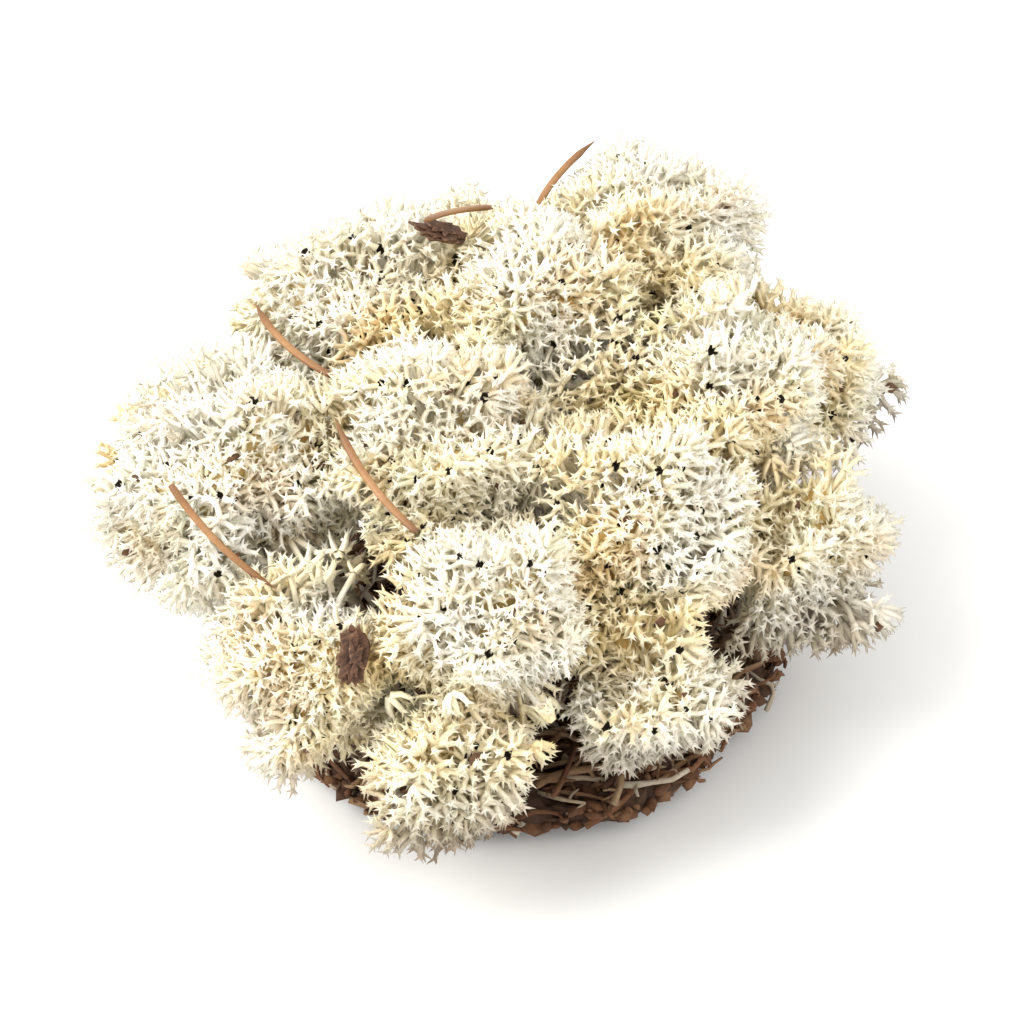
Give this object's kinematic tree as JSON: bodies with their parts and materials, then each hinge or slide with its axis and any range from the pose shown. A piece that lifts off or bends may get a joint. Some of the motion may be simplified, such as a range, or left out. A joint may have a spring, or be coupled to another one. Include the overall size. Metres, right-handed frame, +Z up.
{
  "type": "reindeer moss clump",
  "caption": "Low cushion of pale reindeer lichen: rounded crowns of finely forked, star-tipped branches on splayed stems, rooted in a thin brown litter mat.",
  "frame": {"origin": "on the resting plane, below the middle of the clump's outline box", "axes": "+X along the cushion's longest spread, +Y across it, +Z up through the crowns, which is the shortest extent"},
  "size_m": [0.0787, 0.0701, 0.0476],
  "materials": {
    "lichen": "dry matt cream-white branch tips over beige and grey-green inner branches",
    "litter": "matt dark brown decayed stems and crumbs",
    "needle": "dry orange-brown, faintly glossy",
    "bark": "matt reddish brown, flaky"
  },
  "bodies": {
    "root": {"lichen_head_01": "lichen", "lichen_head_02": "lichen", "lichen_head_03": "lichen", "lichen_head_04": "lichen", "lichen_head_05": "lichen", "lichen_head_06": "lichen", "lichen_head_07": "lichen", "lichen_head_08": "lichen", "lichen_head_09": "lichen", "lichen_head_10": "lichen", "lichen_head_11": "lichen", "lichen_head_12": "lichen", "lichen_head_13": "lichen", "lichen_head_14": "lichen", "lichen_head_15": "lichen", "lichen_head_16": "lichen", "litter_mat": "litter", "pine_needle_1": "needle", "pine_needle_2": "needle", "pine_needle_3": "needle", "pine_needle_4": "needle", "pine_needle_5": "needle", "bark_flake_1": "bark", "bark_flake_2": "bark"}
  },
  "joints": []
}
